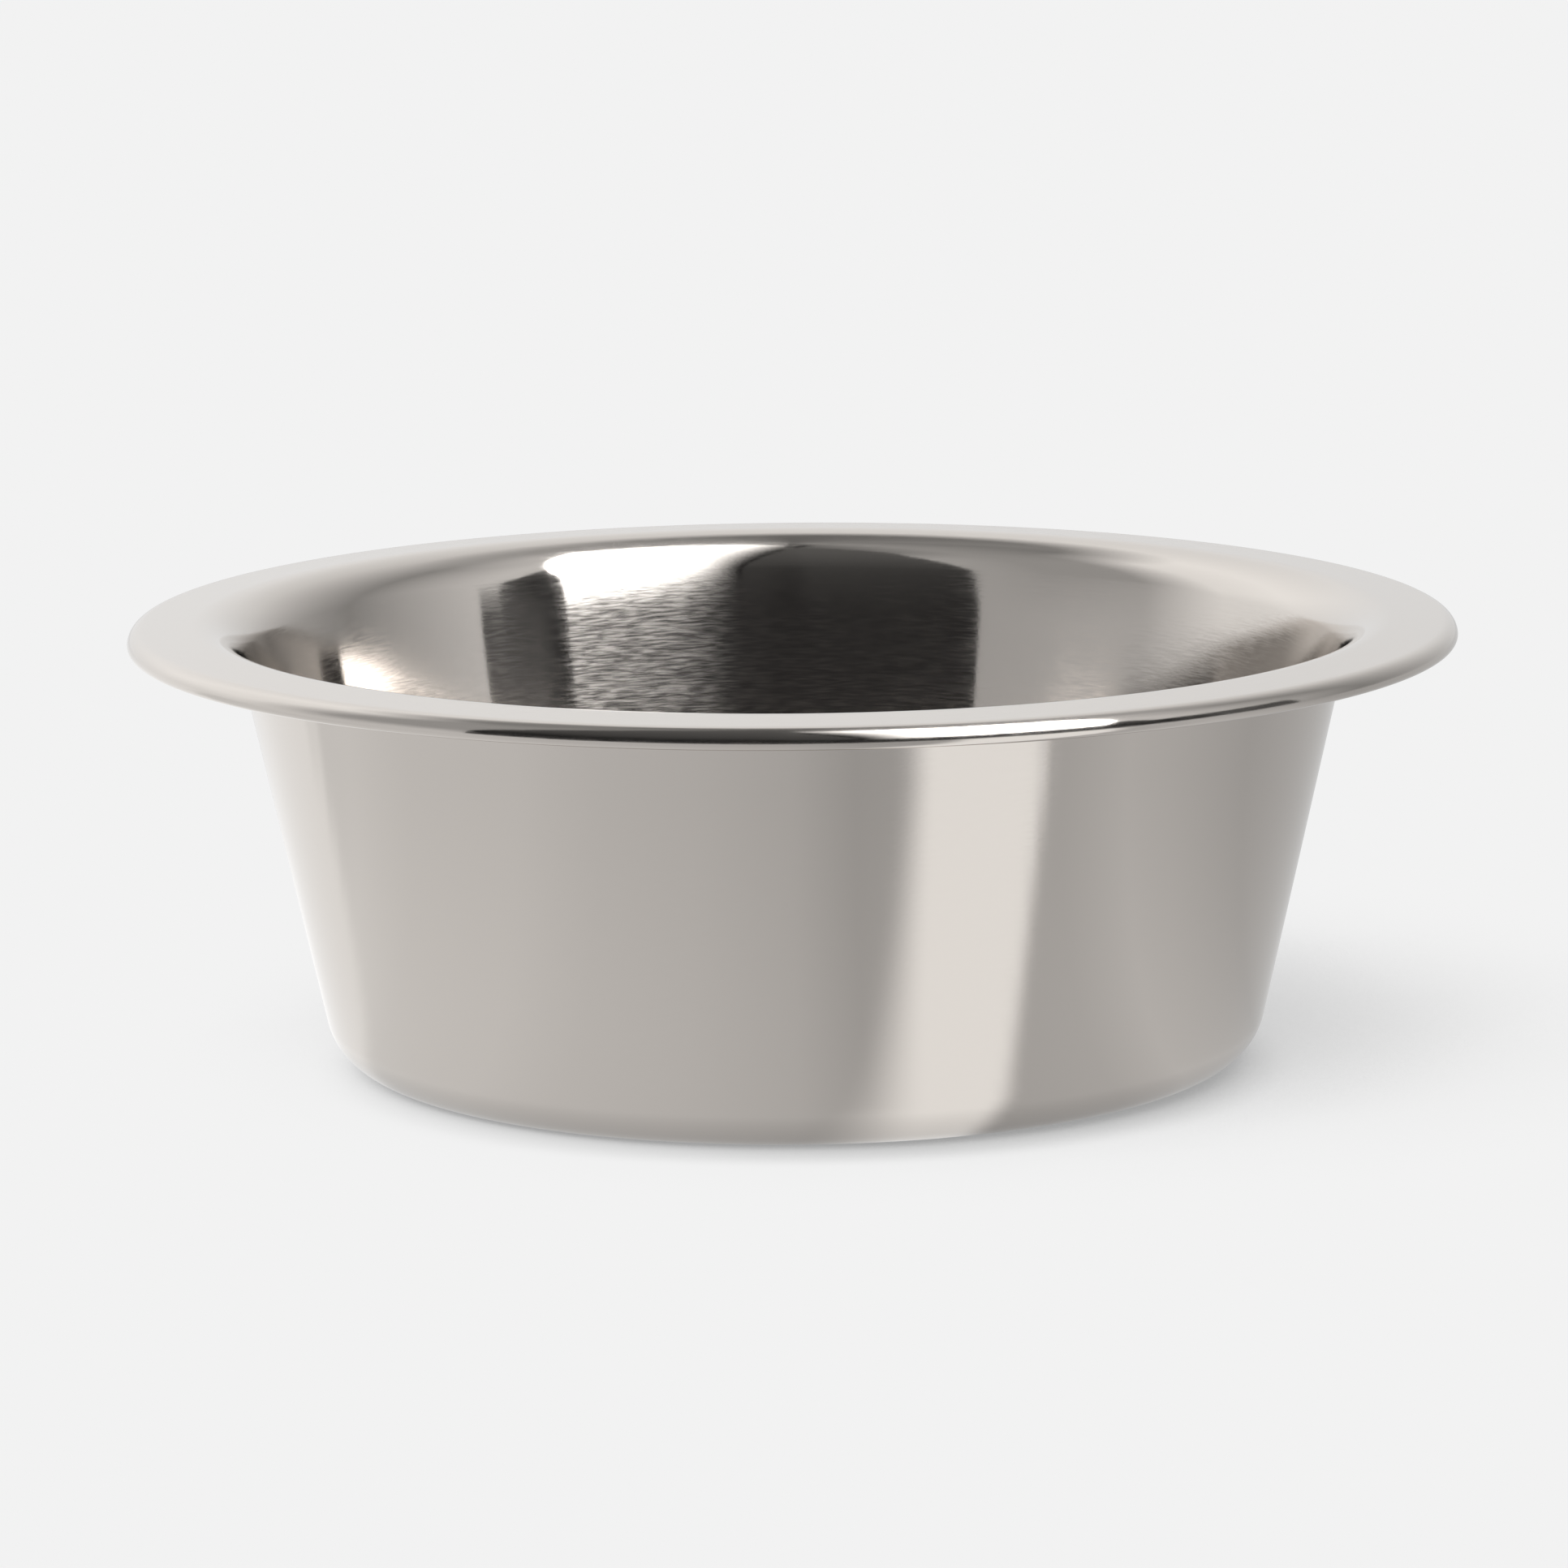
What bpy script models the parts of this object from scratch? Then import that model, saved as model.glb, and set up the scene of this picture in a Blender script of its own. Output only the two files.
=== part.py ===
"""Metal pet bowl, pressed from one disc of stainless sheet.

A flat base and a straight tapered wall end in a wide flat rim, whose outer edge is rolled down
and under. The origin is on the axis at ground level, and +Z points up.
"""

import math

import bpy

# Overall sizes, in metres
RIM_DIAMETER = 0.210
MOUTH_DIAMETER = 0.1886
HEIGHT = 0.071
SHEET = 0.0007

# Bends of the wall, as radii of the skin that faces into the bowl, and the wall's slope in degrees
LIP_RADIUS = 0.0077
HEEL_RADIUS = 0.0088
WALL_DRAFT = 12.5

# The middle of the base stands a little off the ground, so the bowl rests on a ring
PANEL_DIAMETER = 0.104
PANEL_RISE = 0.0008
PANEL_RAMP = 0.004

# Rolled edge, as radii of its outer skin: a soft shoulder, then a tighter roll.
# Both turns are counted in degrees from the flat rim.
SHOULDER_RADIUS = 0.0040
SHOULDER_TURN = 45
ROLL_RADIUS = 0.0016
ROLL_TURN = 285

# Facets: steps round the axis, and the degrees that one facet of an arc takes
ROUND_STEPS = 72
ARC_STEP = 15
ROLL_STEP = 22
SEAM_MERGE = 0.00001

# Polished stainless steel, a slightly warm grey
STEEL_COLOUR = (0.62, 0.60, 0.57, 1)
STEEL_ROUGHNESS = 0.25


def arc(centre, radius, start, end, step=ARC_STEP):
    """Points (r, z) along an arc, from one angle to another in degrees from +X towards +Z."""
    pieces = max(2, round(abs(end - start) / step))
    angles = [math.radians(start + (end - start) * i / pieces) for i in range(pieces + 1)]
    return [(centre[0] + radius * math.cos(a), centre[1] + radius * math.sin(a)) for a in angles]


def base_panel():
    """The raised middle of the base, and the S-bend that brings it down to the standing ring."""
    bend_radius = (PANEL_RISE ** 2 + PANEL_RAMP ** 2) / (4 * PANEL_RISE)
    bend_turn = math.degrees(2 * math.atan2(PANEL_RISE, PANEL_RAMP))
    inner = (PANEL_DIAMETER / 2, SHEET + PANEL_RISE - bend_radius)
    outer = (PANEL_DIAMETER / 2 + PANEL_RAMP, SHEET + bend_radius)
    down = arc(inner, bend_radius, 90, 90 - bend_turn)
    level = arc(outer, bend_radius, -90 - bend_turn, -90)
    return [(0, SHEET + PANEL_RISE)] + down + level[1:]


def wall():
    """Heel, straight wall and lip. The wall is the line that touches both bends."""
    draft = math.radians(WALL_DRAFT)
    lip = (MOUTH_DIAMETER / 2, HEIGHT - LIP_RADIUS)
    heel_z = SHEET + HEEL_RADIUS
    across = (LIP_RADIUS + HEEL_RADIUS) / math.cos(draft)
    heel = (lip[0] - across - (lip[1] - heel_z) * math.tan(draft), heel_z)
    return arc(heel, HEEL_RADIUS, -90, -WALL_DRAFT) + arc(lip, LIP_RADIUS, 180 - WALL_DRAFT, 90)


def rolled_edge():
    """Shoulder and roll. The roll stops short of the rim's underside, so its hollow stays open."""
    turn = math.radians(SHOULDER_TURN)
    between = SHOULDER_RADIUS - ROLL_RADIUS
    roll_r = RIM_DIAMETER / 2 - ROLL_RADIUS
    shoulder = (roll_r - between * math.sin(turn), HEIGHT - SHOULDER_RADIUS)
    roll = (roll_r, shoulder[1] + between * math.cos(turn))
    bend = arc(shoulder, SHOULDER_RADIUS, 90, 90 - SHOULDER_TURN)
    curl = arc(roll, ROLL_RADIUS, 90 - SHOULDER_TURN, 90 - ROLL_TURN, ROLL_STEP)
    return bend + curl[1:]


def polyline(name, points):
    """A mesh of edges that joins (r, z) points in the XZ plane."""
    mesh = bpy.data.meshes.new(name)
    vertices = [(r, 0, z) for r, z in points]
    edges = [(i, i + 1) for i in range(len(points) - 1)]
    mesh.from_pydata(vertices, edges, [])
    return mesh


def stainless():
    """The sheet's one material."""
    material = bpy.data.materials.new("stainless")
    material.use_nodes = True
    shader = material.node_tree.nodes["Principled BSDF"]
    shader.inputs["Base Color"].default_value = STEEL_COLOUR
    shader.inputs["Metallic"].default_value = 1.0
    shader.inputs["Roughness"].default_value = STEEL_ROUGHNESS
    return material


def bowl(collection):
    """Turn the upper skin round the axis, and give it the sheet's thickness on its other side."""
    skin = polyline("bowl", base_panel() + wall() + rolled_edge())
    skin.materials.append(stainless())
    part = bpy.data.objects.new("bowl", skin)
    collection.objects.link(part)

    turned = part.modifiers.new("turned", "SCREW")
    turned.axis = "Z"
    turned.angle = math.tau
    turned.steps = ROUND_STEPS
    turned.render_steps = ROUND_STEPS
    turned.use_merge_vertices = True
    turned.merge_threshold = SEAM_MERGE
    turned.use_smooth_shade = True

    sheet = part.modifiers.new("sheet", "SOLIDIFY")
    sheet.thickness = SHEET
    sheet.offset = -1
    sheet.use_even_offset = True
    return part


def clear_scene():
    for item in list(bpy.data.objects):
        bpy.data.objects.remove(item, do_unlink=True)


def main():
    clear_scene()
    collection = bpy.data.collections.new("metal_pet_bowl")
    bpy.context.scene.collection.children.link(collection)
    bowl(collection)


main()
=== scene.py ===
"""The looks of the metal pet bowl: polished stainless steel on a pale table, in a plain photo studio.

Sizes are in metres and in the part's own frame, whose origin is on the bowl's axis at ground level,
with +Z up. The camera looks along +Y. An azimuth is counted from the camera's side of the bowl and
grows towards +X, and an elevation is counted from the horizon. Both are in degrees.
"""

import math

import bpy
import numpy as np
from mathutils import Matrix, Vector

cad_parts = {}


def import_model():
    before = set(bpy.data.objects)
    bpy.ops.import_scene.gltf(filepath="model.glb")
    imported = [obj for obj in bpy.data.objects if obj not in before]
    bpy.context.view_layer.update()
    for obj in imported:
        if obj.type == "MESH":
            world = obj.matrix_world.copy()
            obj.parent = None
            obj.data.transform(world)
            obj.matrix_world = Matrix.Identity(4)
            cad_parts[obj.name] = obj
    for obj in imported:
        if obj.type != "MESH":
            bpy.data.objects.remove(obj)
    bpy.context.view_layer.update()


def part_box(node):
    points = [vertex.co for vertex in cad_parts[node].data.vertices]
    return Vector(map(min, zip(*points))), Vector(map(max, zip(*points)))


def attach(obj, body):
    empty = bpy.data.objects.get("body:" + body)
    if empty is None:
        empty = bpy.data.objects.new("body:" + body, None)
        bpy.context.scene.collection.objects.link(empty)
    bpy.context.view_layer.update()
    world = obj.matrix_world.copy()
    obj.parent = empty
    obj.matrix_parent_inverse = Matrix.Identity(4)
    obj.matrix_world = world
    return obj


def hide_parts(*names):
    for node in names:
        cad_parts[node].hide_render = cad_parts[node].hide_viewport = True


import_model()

# The bowl's overall sizes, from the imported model
RIM_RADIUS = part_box("bowl")[1].x
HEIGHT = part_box("bowl")[1].z

# Its bends, as in the part: radii of the skin that faces into the bowl, turns in degrees
SHEET = 0.0007
MOUTH_RADIUS = 0.0943
LIP_RADIUS = 0.0077
HEEL_RADIUS = 0.0088
WALL_DRAFT = 12.5
PANEL_RADIUS = 0.052
PANEL_RISE = 0.0008
PANEL_RAMP = 0.004
ROLL_TURN = 285

# The last stretch of the wall opens out a little more before it turns into the lip. The rim falls
# slightly towards its edge, and the rolled edge tightens in steps: each one's radius, and the
# turn from level at which it ends.
FLARE_LENGTH = 0.007
FLARE_TURN = 2.5
RIM_FALL = 2.6
ROLL_STEPS = ((0.00245, 85), (0.00104, ROLL_TURN))

# How much the rolled edge's finish is that of the outside, which is duller than the inside
ROLL_FINISH = 0.8

# Fineness of the turned surface: its steps round the axis and along each kind of bend. A straight
# run that is long enough gets points of its own, this far from its ends and in its middle.
ROUND_STEPS = 256
ARC_STEP = 3
ROLL_STEP = 7
FLARE_STEP = 0.5
RUN_MARGIN = 0.001
LEAST_RUN = 3 * RUN_MARGIN
SEAM_MERGE = 0.000001
SHARP_EDGE = 50

# Colours, as linear values
STEEL_COLOUR = (0.585, 0.55, 0.515, 1)
STEEL_EDGE_TINT = (0.97, 0.97, 0.97, 1)
BACKGROUND = (0.888, 0.888, 0.888, 1)
WHITE = (1, 1, 1, 1)

# The marks of the polish, which are drawn out round the bowl: each kind's length and width. The
# brush marks and the grain stand in relief, and the veil blurs the mirror.
BRUSH_MARKS = (0.030, 0.0004)
GRAIN_MARKS = (0.001, 0.0003)
VEIL_MARKS = (0.004, 0.0003)
MARKS_DETAIL = 2
GRAIN_SHARE = 1.6
RELIEF_DEPTH = 0.0000015

# The steel's roughness: the veil's noise between two values gives the roughness between two others,
# and the outside is a little rougher. Its highlights are drawn out across the marks, a quarter of a
# full turn from the direction round the bowl.
VEIL_NOISE = (0.35, 0.65)
VEIL_ROUGHNESS = (0.070, 0.112)
OUTSIDE_ROUGHNESS = 0.03
ANISOTROPY = 0.97
ANISOTROPY_TURN = 0.25


def offset(point, angle, distance):
    """The point (r, z) at this distance from another, at an angle in degrees from +X towards +Z."""
    turn = math.radians(angle)
    return point[0] + distance * math.cos(turn), point[1] + distance * math.sin(turn)


def arc(centre, radius, start, end, step=ARC_STEP):
    """Points (r, z) along an arc, from one angle to another."""
    pieces = max(2, round(abs(end - start) / step))
    return [offset(centre, start + (end - start) * i / pieces, radius) for i in range(pieces + 1)]


def run(start, end):
    """Points inside a straight run, near its ends and in its middle, which keep its shading straight."""
    length = math.dist(start, end)
    shares = (RUN_MARGIN / length, 0.5, 1 - RUN_MARGIN / length)
    return [tuple(a + (b - a) * share for a, b in zip(start, end)) for share in shares]


def join(*stretches):
    """One line of points through several stretches, with a straight run wherever two lie apart."""
    line = list(stretches[0])
    for stretch in stretches[1:]:
        gap = math.dist(line[-1], stretch[0])
        if gap > LEAST_RUN:
            line += run(line[-1], stretch[0])
        line += stretch[1:] if gap < SEAM_MERGE else stretch
    return line


def roll_reach():
    """How far the rolled edge reaches out from the end of the flat rim."""
    reach = 0
    turned = RIM_FALL
    for radius, turn in ROLL_STEPS:
        reach += radius * (math.sin(math.radians(min(turn, 90))) - math.sin(math.radians(turned)))
        turned = turn
    return reach


def roll(start, depth):
    """The rolled edge's section, this deep below the food side. start is where that side leaves the
    flat rim."""
    line = []
    turned = RIM_FALL
    for radius, turn in ROLL_STEPS:
        centre = offset(start, 90 - turned, -radius)
        line += arc(centre, radius - depth, 90 - turned, 90 - turn, ROLL_STEP)[1 if line else 0:]
        start = offset(centre, 90 - turn, radius)
        turned = turn
    return line


def skin(depth):
    """The bowl's section from the axis to the end of the roll, this deep below the food side."""
    # The base panel comes down to the standing ring in two equal bends
    bend = (PANEL_RISE ** 2 + PANEL_RAMP ** 2) / (4 * PANEL_RISE)
    turn = math.degrees(2 * math.atan2(PANEL_RISE, PANEL_RAMP))
    panel_edge = (PANEL_RADIUS, SHEET + PANEL_RISE - bend)
    ring_edge = (PANEL_RADIUS + PANEL_RAMP, SHEET + bend)

    draft = math.radians(WALL_DRAFT)
    lip = (MOUTH_RADIUS, HEIGHT - LIP_RADIUS)
    lip_end = 180 - WALL_DRAFT - FLARE_TURN
    flare_radius = FLARE_LENGTH / math.radians(FLARE_TURN)
    flare = offset(lip, lip_end, LIP_RADIUS - flare_radius)
    wall_top = offset(flare, 180 - WALL_DRAFT, flare_radius)
    heel_z = SHEET + HEEL_RADIUS
    heel_r = wall_top[0] - HEEL_RADIUS / math.cos(draft) - (wall_top[1] - heel_z) * math.tan(draft)

    rim_start = offset(lip, 90 - RIM_FALL, LIP_RADIUS)
    rim_end = RIM_RADIUS - roll_reach()
    edge = (rim_end, rim_start[1] - (rim_end - rim_start[0]) * math.tan(math.radians(RIM_FALL)))
    return join(
        [(0, SHEET + PANEL_RISE - depth)],
        arc(panel_edge, bend - depth, 90, 90 - turn),
        arc(ring_edge, bend + depth, -90 - turn, -90),
        arc((heel_r, heel_z), HEEL_RADIUS + depth, -90, -WALL_DRAFT),
        arc(flare, flare_radius - depth, 180 - WALL_DRAFT, lip_end, FLARE_STEP),
        arc(lip, LIP_RADIUS - depth, lip_end, 90 - RIM_FALL),
        roll(edge, depth),
    )


def add(name, data):
    """A new object in the scene."""
    item = bpy.data.objects.new(name, data)
    bpy.context.scene.collection.objects.link(item)
    return item


def turned_bowl():
    """The whole sheet as one turned mesh. "along" is the distance along its section, and "under"
    is how much its finish is that of the outside."""
    inside = skin(0)
    rolled = len(roll((0, 0), 0))
    outside = skin(SHEET)[::-1]
    section = inside + outside
    steps = [0] + [math.dist(a, b) for a, b in zip(section, section[1:])]
    finish = [0.0] * (len(inside) - rolled) + [ROLL_FINISH] * rolled + [1.0] * len(outside)

    mesh = bpy.data.meshes.new("bowl_section")
    mesh.from_pydata([(r, 0, z) for r, z in section], [(i, i + 1) for i in range(len(section) - 1)], [])
    along = mesh.attributes.new("along", "FLOAT", "POINT")
    along.data.foreach_set("value", np.cumsum(steps))
    under = mesh.attributes.new("under", "FLOAT", "POINT")
    under.data.foreach_set("value", finish)

    guide = add("bowl_section", mesh)
    turned = guide.modifiers.new("turned", "SCREW")
    turned.axis = "Z"
    turned.angle = math.tau
    turned.steps = ROUND_STEPS
    turned.render_steps = ROUND_STEPS
    turned.use_merge_vertices = True
    turned.merge_threshold = SEAM_MERGE
    bpy.context.view_layer.update()
    shape = bpy.data.meshes.new_from_object(guide.evaluated_get(bpy.context.evaluated_depsgraph_get()))
    bpy.data.objects.remove(guide)

    shape.name = "bowl_sheet"
    shape.shade_smooth()
    shape.set_sharp_from_angle(angle=math.radians(SHARP_EDGE))
    return add("bowl_sheet", shape)


def node(tree, kind, settings=None, inputs=None):
    """A new node with its settings, and its inputs linked to sockets or set to plain values."""
    made = tree.nodes.new("ShaderNode" + kind)
    for name, value in (settings or {}).items():
        setattr(made, name, value)
    for name, value in (inputs or {}).items():
        if isinstance(value, bpy.types.NodeSocket):
            tree.links.new(value, made.inputs[name])
        else:
            made.inputs[name].default_value = value
    return made


def calculate(tree, operation, *values):
    """The result of a Math node."""
    return node(tree, "Math", {"operation": operation}, dict(enumerate(values))).outputs[0]


def remap(tree, value, start, end, low, high, interpolation="LINEAR"):
    """A value moved from the range between start and end to the range between low and high."""
    return node(tree, "MapRange", {"interpolation_type": interpolation}, {
        "Value": value,
        "From Min": start,
        "From Max": end,
        "To Min": low,
        "To Max": high,
    }).outputs[0]


def new_material(name):
    """An empty node material and its output node."""
    material = bpy.data.materials.new(name)
    material.use_nodes = True
    material.node_tree.nodes.clear()
    return material, node(material.node_tree, "OutputMaterial")


def steel():
    """Stainless steel polished on a lathe: mirror-like round the bowl, drawn out along its section."""
    material, output = new_material("stainless")
    tree = material.node_tree
    place = node(tree, "TexCoord").outputs["Object"]
    axes = node(tree, "SeparateXYZ", inputs={0: place}).outputs
    flat = node(tree, "CombineXYZ", inputs={"X": axes["X"], "Y": axes["Y"]}).outputs[0]
    outward = node(tree, "VectorMath", {"operation": "NORMALIZE"}, {0: flat}).outputs[0]
    wrapped = node(tree, "VectorMath", {"operation": "SCALE"}, {0: outward, "Scale": RIM_RADIUS})
    around = node(tree, "SeparateXYZ", inputs={0: wrapped.outputs[0]}).outputs
    along = node(tree, "Attribute", {"attribute_name": "along"}).outputs["Fac"]
    under = node(tree, "Attribute", {"attribute_name": "under"}).outputs["Fac"]

    def marks(length, width):
        """Noise drawn out round the bowl, in marks of this length and width."""
        across = calculate(tree, "MULTIPLY", along, length / width)
        spot = node(tree, "CombineXYZ", inputs={"X": around["X"], "Y": around["Y"], "Z": across})
        return node(tree, "TexNoise", inputs={
            "Vector": spot.outputs[0],
            "Scale": 1 / length,
            "Detail": MARKS_DETAIL,
        }).outputs["Fac"]

    brush = marks(*BRUSH_MARKS)
    relief = calculate(tree, "MULTIPLY_ADD", marks(*GRAIN_MARKS), GRAIN_SHARE, brush)
    bump = node(tree, "Bump", inputs={"Strength": 1.0, "Distance": RELIEF_DEPTH, "Height": relief})

    veil = remap(tree, marks(*VEIL_MARKS), *VEIL_NOISE, *VEIL_ROUGHNESS)
    shader = node(tree, "BsdfPrincipled", inputs={
        "Base Color": STEEL_COLOUR,
        "Metallic": 1.0,
        "Roughness": calculate(tree, "MULTIPLY_ADD", under, OUTSIDE_ROUGHNESS, veil),
        "Specular Tint": STEEL_EDGE_TINT,
        "Anisotropic": ANISOTROPY,
        "Anisotropic Rotation": ANISOTROPY_TURN,
        "Tangent": node(tree, "Tangent", {"direction_type": "RADIAL", "axis": "Z"}).outputs[0],
        "Normal": bump.outputs[0],
    })
    tree.links.new(shader.outputs[0], output.inputs["Surface"])
    return material


def towards(azimuth, length=1):
    """The level vector (x, y) of this length towards an azimuth."""
    turn = math.radians(azimuth)
    return length * math.sin(turn), -length * math.cos(turn)


# The table that the bowl stands on: how far it reaches from the bowl's axis, and how much of its
# brightness is its own
TABLE_FRONT = 2.0
TABLE_SIDE = 2.0
TABLE_BACK = 4.0
TABLE_OWN_LIGHT = 0.97

# The bowl's shadow is painted into the table's own light, which is dimmed where the bowl stands
# over it: close round the base in front, and more widely at the right. Each painted shadow has its
# reach, the azimuth towards which it looks for the bowl, how open the table is where it is deepest
# and where it starts, and its depth. Both look up, at this lean from the vertical.
CONTACT_PAINTED_SHADOW = (0.012, -165, 0.0, 0.7, 0.335)
SIDE_PAINTED_SHADOW = (0.105, -40, 0.376, 0.553, 0.33)
PAINTED_SHADOW_LEAN = 45
PAINTED_SHADOW_SAMPLES = 6


def table():
    """A pale table top. Most of its brightness is its own, which keeps the bowl's shadow light, and
    that shadow is mostly painted into the own light; the lamp draws only a small real part of it.
    """
    material, output = new_material("table_top")
    tree = material.node_tree

    def painted_shadow(reach, azimuth, deepest, start, depth):
        """How much of the table's own light is left by one painted shadow."""
        lean = math.radians(PAINTED_SHADOW_LEAN)
        x, y = towards(azimuth, math.sin(lean))
        facing = node(tree, "CombineXYZ", inputs={"X": x, "Y": y, "Z": math.cos(lean)}).outputs[0]
        seen = node(tree, "AmbientOcclusion", {"samples": PAINTED_SHADOW_SAMPLES}, {
            "Distance": reach,
            "Normal": facing,
        })
        return remap(tree, seen.outputs["AO"], deepest, start, 1 - depth, 1, "SMOOTHSTEP")

    # The bowl's shadow is painted here, into the table's own light
    left = calculate(tree, "ADD", painted_shadow(*CONTACT_PAINTED_SHADOW), painted_shadow(*SIDE_PAINTED_SHADOW))
    left = calculate(tree, "SUBTRACT", left, 1.0)

    matt = node(tree, "BsdfDiffuse", inputs={"Color": BACKGROUND})
    own = node(tree, "Emission", inputs={"Color": BACKGROUND, "Strength": left})
    mixed = node(tree, "MixShader", inputs={0: TABLE_OWN_LIGHT, 1: matt.outputs[0], 2: own.outputs[0]})
    tree.links.new(mixed.outputs[0], output.inputs["Surface"])

    mesh = bpy.data.meshes.new("table_top")
    corners = [
        (-TABLE_SIDE, -TABLE_FRONT, 0),
        (TABLE_SIDE, -TABLE_FRONT, 0),
        (TABLE_SIDE, TABLE_BACK, 0),
        (-TABLE_SIDE, TABLE_BACK, 0),
    ]
    mesh.from_pydata(corners, [], [(0, 1, 2, 3)])
    mesh.materials.append(material)
    top = add("table_top", mesh)
    top.visible_glossy = False


def steps_between(ends, step):
    """Evenly spaced values from one end to the other."""
    count = max(1, round((ends[1] - ends[0]) / step))
    return [ends[0] + (ends[1] - ends[0]) * i / count for i in range(count + 1)]


def smooth(value, start, end):
    """A soft step from 0 to 1 between two values."""
    share = min(1, max(0, (value - start) / (end - start)))
    return share * share * (3 - 2 * share)


def read(row, place):
    """The value at a place, from a row of values by place."""
    return float(np.interp(place, list(row), list(row.values())))


def card_material():
    """Every card shines as strongly as its own points say."""
    material, output = new_material("studio_card")
    tree = material.node_tree
    level = node(tree, "Attribute", {"attribute_name": "level"}).outputs["Fac"]
    shine = node(tree, "Emission", inputs={"Strength": level})
    tree.links.new(shine.outputs[0], output.inputs["Surface"])


def card(name, columns, rows, place, level):
    """A grid that shines by itself and that only the metal sees. place(column, row) gives its points
    and level(column, row) its light."""
    tall = len(rows)
    faces = [
        (i * tall + j, (i + 1) * tall + j, (i + 1) * tall + j + 1, i * tall + j + 1)
        for i in range(len(columns) - 1)
        for j in range(tall - 1)
    ]
    mesh = bpy.data.meshes.new(name)
    mesh.from_pydata([place(i, j) for i in columns for j in rows], [], faces)
    light = mesh.attributes.new("level", "FLOAT", "POINT")
    light.data.foreach_set("value", [level(i, j) for i in columns for j in rows])
    mesh.materials.append(bpy.data.materials["studio_card"])

    item = add(name, mesh)
    item.visible_camera = False
    item.visible_diffuse = False
    item.visible_shadow = False


# The room round the bowl, a sphere: the brightness of its walls near the ground, higher up, and of
# its ceiling, by azimuth. Each passes into the next between two elevations.
GROUND_LIGHT = {
    -180: 0.89, -135: 1.12, -108: 1.02, -85: 0.8, -60: 0.8, -39: 0.5, 72: 0.72, 112: 0.31,
    158: 0.77, 180: 0.89,
}
WALL_LIGHT = {
    -180: 1.05, -135: 1.32, -108: 1.2, -85: 0.46, -60: 0.45, -39: 0.55, 72: 0.85, 112: 0.36,
    158: 0.9, 180: 1.05,
}
CEILING_LIGHT = {
    -180: 0.2, -130: 0.35, -110: 0.3, -56: 0.45, -39: 0.35, 0: 0.15, 60: 0.75, 95: 0.8, 125: 0.5,
    155: 0.45, 180: 0.2,
}
GROUND_END = 2
WALL_START = 19
WALL_TOP = 48
CEILING_START = 62
ROOM_RISE = (-40, 90)
ROOM_DISTANCE = 4
ROOM_CENTRE = 0.05
ROOM_STEP = 2
FULL_TURN = (-180, 180)

# A dark opening in the front of that room: the azimuths of its left and right side by elevation.
# Its low part and its left part stand close to the bowl, and the rest far behind the softbox. The
# left part passes into the far one between two azimuths. The far part hangs lower by a few degrees,
# which it loses again between two elevations.
OPENING_LEFT = {3.4: -47.9, 20: -47.9, 37: -45, 63: -43, 80: -52, 88: -60}
OPENING_RIGHT = {3.4: 81.5, 20: 81.5, 22: 69, 30: 65, 40: 63, 88: 63}
OPENING_NEAR = 0.34
OPENING_FAR = 3.5
OPENING_LOW_END = 21
OPENING_LEFT_END = (-5, 10)
OPENING_FAR_DROP = 6
OPENING_DROP_END = (22, 44)
OPENING_LOW_ROWS = [3.4, 8, 12, 16]
OPENING_HIGH_RISE = (20, 88)
OPENING_STEPS = 50

# The opening's brightness by elevation. At the right it has a least value, which it reaches between
# two azimuths.
OPENING_LIGHT = {20: 0.025, 32: 0.08, 75: 0.14}
OPENING_RIGHT_LIGHT = 0.1
OPENING_RIGHT_FADE = (60, 66)


def on_sphere(azimuth, elevation, distance):
    """The point in this direction and at this distance from the room's centre."""
    rise = math.radians(elevation)
    x, y = towards(azimuth, distance * math.cos(rise))
    return x, y, ROOM_CENTRE + distance * math.sin(rise)


def room_light(azimuth, elevation):
    """The room's brightness in one direction."""
    ends = (GROUND_END, WALL_START, WALL_TOP, CEILING_START)
    ground, wall, ceiling = (read(row, azimuth) for row in (GROUND_LIGHT, WALL_LIGHT, CEILING_LIGHT))
    return float(np.interp(elevation, ends, (ground, wall, wall, ceiling)))


def opening_azimuth(share, elevation):
    """The azimuth at this share of the way across the dark opening."""
    left, right = read(OPENING_LEFT, elevation), read(OPENING_RIGHT, elevation)
    return left + (right - left) * share


def opening_place(share, elevation):
    """A point of the dark opening."""
    azimuth = opening_azimuth(share, elevation)
    far = 0 if elevation < OPENING_LOW_END else smooth(azimuth, *OPENING_LEFT_END)
    lowered = OPENING_FAR_DROP * far * (1 - smooth(elevation, *OPENING_DROP_END))
    return on_sphere(azimuth, elevation - lowered, OPENING_NEAR + (OPENING_FAR - OPENING_NEAR) * far)


def opening_light(share, elevation):
    """The dark opening's brightness, which rises a little overhead and at its right side."""
    light = read(OPENING_LIGHT, elevation)
    right_light = max(light, OPENING_RIGHT_LIGHT)
    return read(dict(zip(OPENING_RIGHT_FADE, (light, right_light))), opening_azimuth(share, elevation))


def room():
    """The room's walls and ceiling, and the dark opening in front of them."""
    card(
        "room",
        steps_between(FULL_TURN, ROOM_STEP),
        steps_between(ROOM_RISE, ROOM_STEP),
        lambda azimuth, elevation: on_sphere(azimuth, elevation, ROOM_DISTANCE),
        room_light,
    )
    card(
        "dark_opening",
        [i / OPENING_STEPS for i in range(OPENING_STEPS + 1)],
        OPENING_LOW_ROWS + steps_between(OPENING_HIGH_RISE, ROOM_STEP),
        opening_place,
        opening_light,
    )
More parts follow.
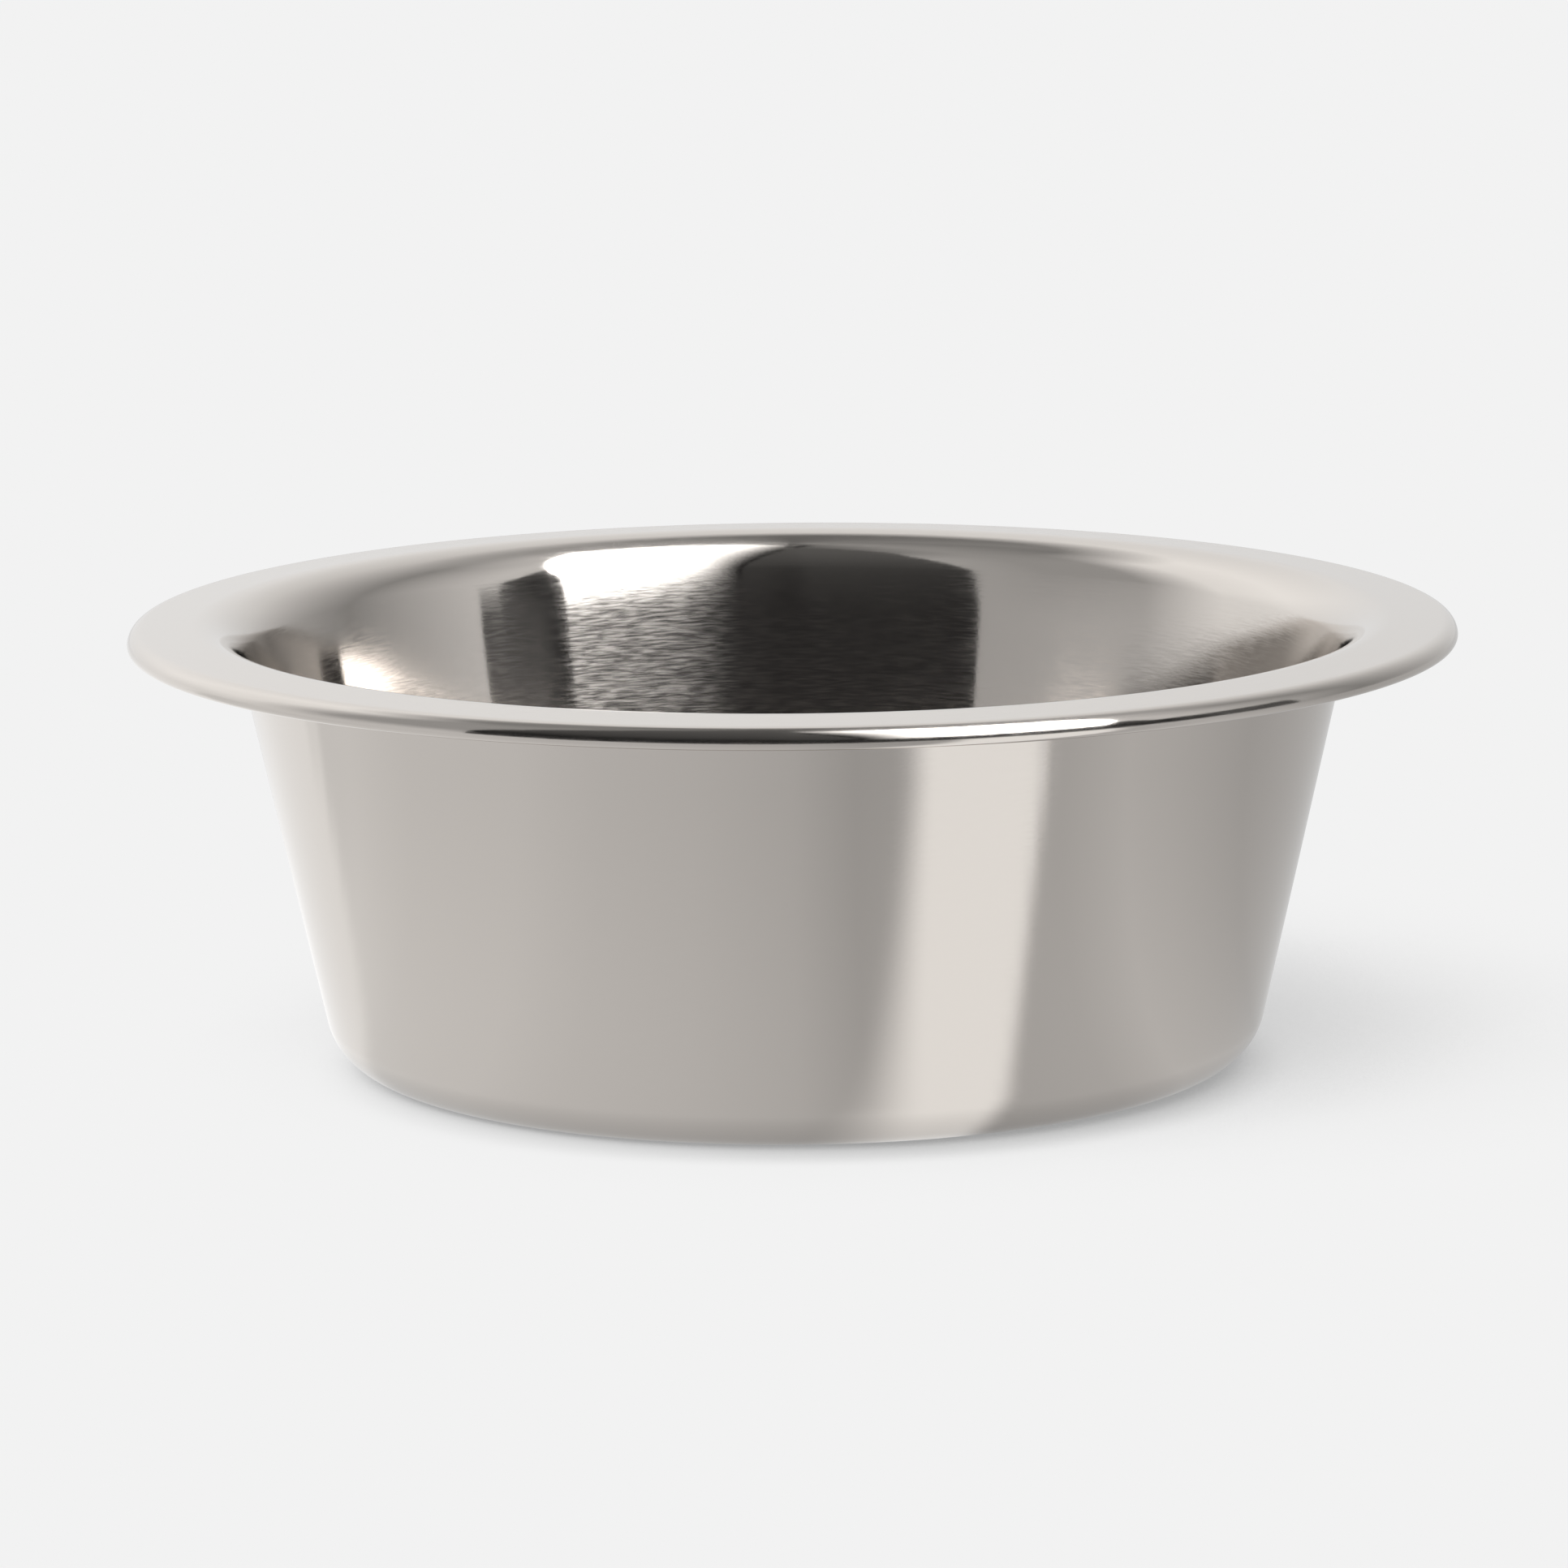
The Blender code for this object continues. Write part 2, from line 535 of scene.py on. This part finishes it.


# The table as the metal sees it: a card just above it, which only the metal sees, with the studio's
# uneven light painted on it: its brightness by azimuth, a little less away from the bowl, a painted
# pool of light behind a straight line on the left, and a much brighter painted wedge that opens to the
# front right. Each line is given by a point (x, y), the azimuth in which it runs, and how softly it
# fades. The bright part on the left fades out again right behind the bowl, and painted shade darkens
# all of the table close round the base.
PAINTED_TABLE_LIGHT = {
    -180: 0.8, -90: 1.0, -73: 0.92, -60: 0.9, -48: 0.88, -33: 0.8, -16: 0.75, 0: 0.67, 10: 0.55,
    46: 0.64, 60: 0.75, 70: 0.71, 82: 0.65, 94: 0.59, 180: 0.8,
}
AWAY_SHARE = 0.9
AWAY_FADE = (0.09, 0.2)
PAINTED_BACK_LIGHT = 1.12
PAINTED_BACK_LIGHT_FADE = (-175, -130)
PAINTED_WEDGE_LIGHT = 1.24
BACK_LINE = ((-0.087, -0.0145), -118.8, 0.004)
WEDGE_LEFT = ((0.0212, -0.0900), 28.2, 0.009)
WEDGE_RIGHT = ((0.0468, -0.0772), 55.3, 0.003)
PAINTED_BASE_SHADE = 0.75
PAINTED_BASE_SHADE_FADE = (0.070, 0.078)
TABLE_CARD_HEIGHT = 0.0001
TABLE_CARD_RADII = (
    0.066, 0.070, 0.074, 0.078, 0.083, 0.089, 0.096, 0.105, 0.116, 0.13, 0.15, 0.18, 0.25, 0.5, 2.3,
)
TABLE_CARD_STEP = 0.5


def right_of(line, x, y):
    """How far a point lies to the right of a line, as a share from 0 to 1 across its soft edge."""
    (start_x, start_y), azimuth, softness = line
    run_x, run_y = towards(azimuth)
    side = run_x * (start_y - y) - run_y * (start_x - x)
    return smooth(side, -softness, softness)


def painted_table_light(azimuth, radius):
    """The painted light and shade of the table at a place, as the metal sees it."""
    x, y = towards(azimuth, radius)
    light = read(PAINTED_TABLE_LIGHT, azimuth) * (1 - (1 - AWAY_SHARE) * smooth(radius, *AWAY_FADE))
    # Painted light: a bright pool behind a line on the left, and a bright wedge at the front right
    if x < 0:
        light += (PAINTED_BACK_LIGHT - light) * right_of(BACK_LINE, x, y) * smooth(azimuth, *PAINTED_BACK_LIGHT_FADE)
    if x > 0 and y < 0:
        light += (PAINTED_WEDGE_LIGHT - light) * (1 - right_of(WEDGE_LEFT, x, y)) * right_of(WEDGE_RIGHT, x, y)
    # Painted shade close round the base
    return light * (PAINTED_BASE_SHADE + (1 - PAINTED_BASE_SHADE) * smooth(radius, *PAINTED_BASE_SHADE_FADE))


def table_place(azimuth, radius):
    """A point just above the table."""
    return (*towards(azimuth, radius), TABLE_CARD_HEIGHT)


# A large softbox stands at the front right and leans over the bowl. Its sides are nearly parallel to
# this azimuth. Its low and high ends are given by their distance in that direction, their height, and
# how far to the right of the bowl's axis their left and right corners are. The low end slants down
# towards the right, round a place this far across it.
SOFTBOX_AZIMUTH = 28
SOFTBOX_LOW_END = (1.7, 0.712, -0.50, 0.80)
SOFTBOX_HIGH_END = (0.174, 2.6, -0.22, 1.05)
SOFTBOX_SLANT = 0.052
SOFTBOX_SLANT_CENTRE = 0.4
SOFTBOX_LIGHT = 6.5
SOFTBOX_SOFT_EDGE = 0.70
SOFTBOX_STEPS = 40
SOFTBOX_ROWS = (0, 0.5, 1)


def softbox():
    """The softbox's face, whose light fades towards its left side."""
    toward = towards(SOFTBOX_AZIMUTH)
    ends = np.array([SOFTBOX_LOW_END, SOFTBOX_HIGH_END])
    width = SOFTBOX_LOW_END[3] - SOFTBOX_LOW_END[2]

    def place(share, rise):
        rise -= SOFTBOX_SLANT * (share - SOFTBOX_SLANT_CENTRE) * (1 - rise)
        far, high, left, right = ends[0] + (ends[1] - ends[0]) * rise
        aside = left + (right - left) * share
        return toward[0] * far - toward[1] * aside, toward[1] * far + toward[0] * aside, high

    def level(share, rise):
        return SOFTBOX_LIGHT * smooth(share * width, 0, SOFTBOX_SOFT_EDGE)

    shares = [i / SOFTBOX_STEPS for i in range(SOFTBOX_STEPS + 1)]
    card("softbox", shares, SOFTBOX_ROWS, place, level)


def studio():
    """Everything that the metal reflects."""
    card_material()
    room()
    softbox()
    azimuths = steps_between(FULL_TURN, TABLE_CARD_STEP)
    card("painted_table_light", azimuths, TABLE_CARD_RADII, table_place, painted_table_light)


def rotation(angle, axis):
    """A turn by an angle in degrees about one axis."""
    return Matrix.Rotation(math.radians(angle), 4, axis)


# One lamp from the front left draws the real part of the table's shadow, and the world fills it a
# little. The larger part of that shadow is painted into the table's own light.
LAMP_AZIMUTH = -50
LAMP_ELEVATION = 66
LAMP_SPREAD = 40
LAMP_SHARE = 0.8


def lamp():
    """A sun lamp that lights the table with its share of plain white light."""
    light = bpy.data.lights.new("shadow_lamp", "SUN")
    light.energy = LAMP_SHARE * math.pi / math.sin(math.radians(LAMP_ELEVATION))
    light.angle = math.radians(LAMP_SPREAD)
    item = add("shadow_lamp", light)
    item.matrix_world = rotation(LAMP_AZIMUTH, "Z") @ rotation(90 - LAMP_ELEVATION, "X")
    item.visible_glossy = False


def world():
    """A pale world for the camera and the metal, which lights the table with the lamp's remainder."""
    surroundings = bpy.data.worlds.new("studio")
    surroundings.use_nodes = True
    tree = surroundings.node_tree
    tree.nodes.clear()
    path = node(tree, "LightPath")
    seen = calculate(tree, "MAXIMUM", path.outputs["Is Camera Ray"], path.outputs["Is Glossy Ray"])
    seen = calculate(tree, "MAXIMUM", seen, path.outputs["Is Transmission Ray"])
    fill = node(tree, "Background", inputs={"Color": WHITE, "Strength": 1 - LAMP_SHARE})
    pale = node(tree, "Background", inputs={"Color": BACKGROUND, "Strength": 1.0})
    mixed = node(tree, "MixShader", inputs={0: seen, 1: fill.outputs[0], 2: pale.outputs[0]})
    node(tree, "OutputWorld", inputs={"Surface": mixed.outputs[0]})
    bpy.context.scene.world = surroundings


# The camera stands in front, a little above the rim, and is turned slightly off the bowl's middle.
# Its lens and its sensor are in millimetres.
CAMERA_DISTANCE = 1.284
CAMERA_ELEVATION = 8.95
CAMERA_PAN = 0.068
CAMERA_TILT = -1.198
CAMERA_ROLL = 0.50
LENS = 186.3
SENSOR = 36


def camera():
    """The photograph's viewpoint."""
    data = bpy.data.cameras.new("camera")
    data.sensor_width = SENSOR
    data.lens = LENS
    item = add("camera", data)
    elevation = math.radians(CAMERA_ELEVATION)
    stand = Matrix.Translation((
        0,
        -CAMERA_DISTANCE * math.cos(elevation),
        HEIGHT + CAMERA_DISTANCE * math.sin(elevation),
    ))
    level = stand @ rotation(90 - CAMERA_ELEVATION, "X")
    item.matrix_world = (
        level @ rotation(CAMERA_PAN, "Y") @ rotation(CAMERA_TILT, "X") @ rotation(-CAMERA_ROLL, "Z")
    )
    bpy.context.scene.camera = item


bowl = turned_bowl()
bowl.data.materials.append(steel())
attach(bowl, "root")
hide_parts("bowl")

table()
studio()
lamp()
world()
camera()
bpy.context.scene.view_settings.view_transform = "Standard"
